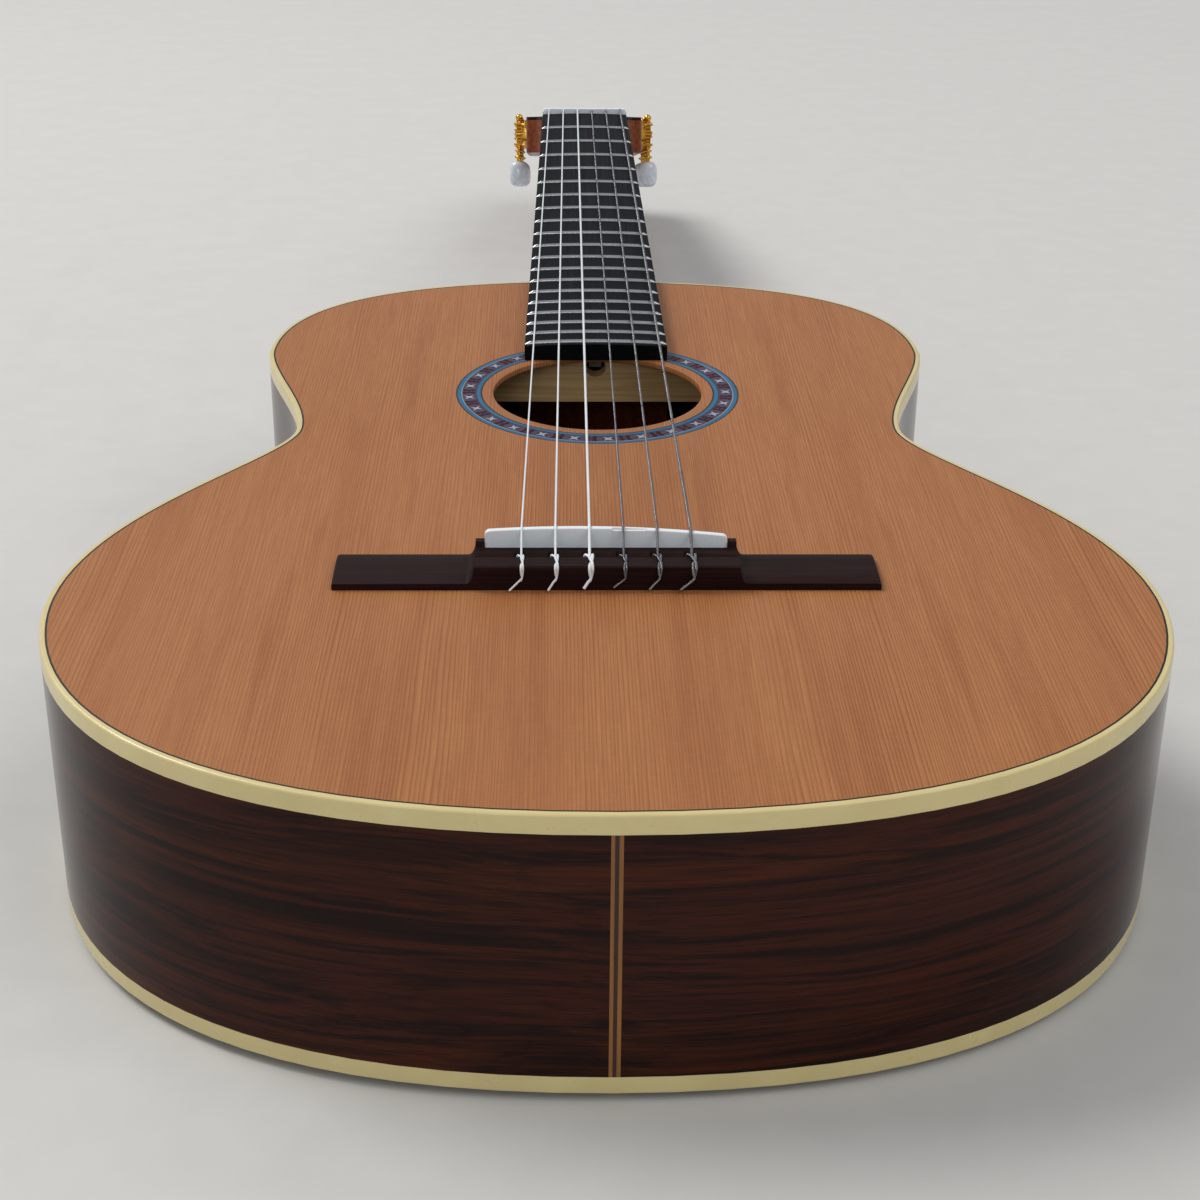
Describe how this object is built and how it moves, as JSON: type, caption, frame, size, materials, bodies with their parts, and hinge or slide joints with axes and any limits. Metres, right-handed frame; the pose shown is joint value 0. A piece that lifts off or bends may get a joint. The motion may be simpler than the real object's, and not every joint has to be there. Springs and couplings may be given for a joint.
{
  "type": "classical guitar",
  "caption": "Hollow wooden classical guitar with a round soundhole, tied bridge, fretted neck, slotted head and geared tuning machines that wind the strings.",
  "frame": {"origin": "on the flat of the back, on the centre line, half way along the whole length", "axes": "+Z out of the soundboard, +Y from the tail towards the head, +X to the right as seen from the tail"},
  "size_m": [0.3792, 1.0012, 0.1168],
  "materials": {
    "cedar": "satin, fine straight grain",
    "spruce": "raw, fine straight grain",
    "rosewood": "gloss, dark streaked grain",
    "cream_binding": "gloss",
    "mosaic": "inlaid rings, satin",
    "strip_wood": "three-stripe inlay, gloss",
    "mahogany": "satin",
    "ebony": "oiled",
    "bridge_wood": "oiled, open pores",
    "bone": "polished",
    "nylon": "clear white nylon",
    "wound_silver": "fine wound wire",
    "gold": "polished gold plate",
    "pearl": "pearl, gloss",
    "steel": "plain steel"
  },
  "bodies": {
    "guitar_body": {"soundboard": "cedar", "rosette": "mosaic", "soundhole_bar": "spruce", "soundboard_bracing": "spruce", "back": "rosewood", "back_bracing": "spruce", "rib_left": "rosewood", "rib_right": "rosewood", "lining_top": "spruce", "lining_back": "spruce", "binding_top": "cream_binding", "binding_back": "cream_binding", "neck_block": "spruce", "tail_block": "spruce", "tail_strip": "strip_wood", "neck": "mahogany", "head_veneer": "rosewood", "truss_rod": "steel", "fingerboard": "ebony", "nut": "bone", "bridge": "bridge_wood", "saddle": "bone", "machine_plate_left": "gold", "machine_plate_right": "gold", "string_1": "nylon", "string_2": "nylon", "string_3": "nylon", "string_4": "wound_silver", "string_5": "wound_silver", "string_6": "wound_silver"},
    "knob_1": {"worm_shaft_1": "gold", "button_1": "pearl"},
    "spool_1": {"roller_1": "bone", "gear_1": "gold", "winding_1": "nylon"},
    "knob_2": {"worm_shaft_2": "gold", "button_2": "pearl"},
    "spool_2": {"roller_2": "bone", "gear_2": "gold", "winding_2": "nylon"},
    "knob_3": {"worm_shaft_3": "gold", "button_3": "pearl"},
    "spool_3": {"roller_3": "bone", "gear_3": "gold", "winding_3": "nylon"},
    "knob_4": {"worm_shaft_4": "gold", "button_4": "pearl"},
    "spool_4": {"roller_4": "bone", "gear_4": "gold", "winding_4": "wound_silver"},
    "knob_5": {"worm_shaft_5": "gold", "button_5": "pearl"},
    "spool_5": {"roller_5": "bone", "gear_5": "gold", "winding_5": "wound_silver"},
    "knob_6": {"worm_shaft_6": "gold", "button_6": "pearl"},
    "spool_6": {"roller_6": "bone", "gear_6": "gold", "winding_6": "wound_silver"}
  },
  "joints": [
    {"name": "knob_turn_1", "type": "hinge", "parent": "guitar_body", "child": "knob_1", "pos_m": [-0.0415, 0.3665, 0.08321], "axis": [0, 0.2588, 0.9659], "continuous": true},
    {"name": "spool_turn_1", "type": "hinge", "parent": "guitar_body", "child": "spool_1", "pos_m": [-0.019, 0.358, 0.08549], "axis": [1, 0, 0], "continuous": true},
    {"name": "knob_turn_2", "type": "hinge", "parent": "guitar_body", "child": "knob_2", "pos_m": [-0.0415, 0.40031, 0.07415], "axis": [0, 0.2588, 0.9659], "continuous": true},
    {"name": "spool_turn_2", "type": "hinge", "parent": "guitar_body", "child": "spool_2", "pos_m": [-0.019, 0.39181, 0.07643], "axis": [1, 0, 0], "continuous": true},
    {"name": "knob_turn_3", "type": "hinge", "parent": "guitar_body", "child": "knob_3", "pos_m": [-0.0415, 0.43412, 0.06509], "axis": [0, 0.2588, 0.9659], "continuous": true},
    {"name": "spool_turn_3", "type": "hinge", "parent": "guitar_body", "child": "spool_3", "pos_m": [-0.019, 0.42562, 0.06737], "axis": [1, 0, 0], "continuous": true},
    {"name": "knob_turn_4", "type": "hinge", "parent": "guitar_body", "child": "knob_4", "pos_m": [0.0415, 0.43412, 0.06509], "axis": [0, 0.2588, 0.9659], "continuous": true},
    {"name": "spool_turn_4", "type": "hinge", "parent": "guitar_body", "child": "spool_4", "pos_m": [0.019, 0.42562, 0.06737], "axis": [1, 0, 0], "continuous": true},
    {"name": "knob_turn_5", "type": "hinge", "parent": "guitar_body", "child": "knob_5", "pos_m": [0.0415, 0.40031, 0.07415], "axis": [0, 0.2588, 0.9659], "continuous": true},
    {"name": "spool_turn_5", "type": "hinge", "parent": "guitar_body", "child": "spool_5", "pos_m": [0.019, 0.39181, 0.07643], "axis": [1, 0, 0], "continuous": true},
    {"name": "knob_turn_6", "type": "hinge", "parent": "guitar_body", "child": "knob_6", "pos_m": [0.0415, 0.3665, 0.08321], "axis": [0, 0.2588, 0.9659], "continuous": true},
    {"name": "spool_turn_6", "type": "hinge", "parent": "guitar_body", "child": "spool_6", "pos_m": [0.019, 0.358, 0.08549], "axis": [1, 0, 0], "continuous": true}
  ],
  "couplings": [
    {"joint": "spool_turn_1", "follows": "knob_turn_1", "ratio": -0.071429},
    {"joint": "spool_turn_2", "follows": "knob_turn_2", "ratio": -0.071429},
    {"joint": "spool_turn_3", "follows": "knob_turn_3", "ratio": -0.071429},
    {"joint": "spool_turn_4", "follows": "knob_turn_4", "ratio": -0.071429},
    {"joint": "spool_turn_5", "follows": "knob_turn_5", "ratio": -0.071429},
    {"joint": "spool_turn_6", "follows": "knob_turn_6", "ratio": -0.071429}
  ]
}
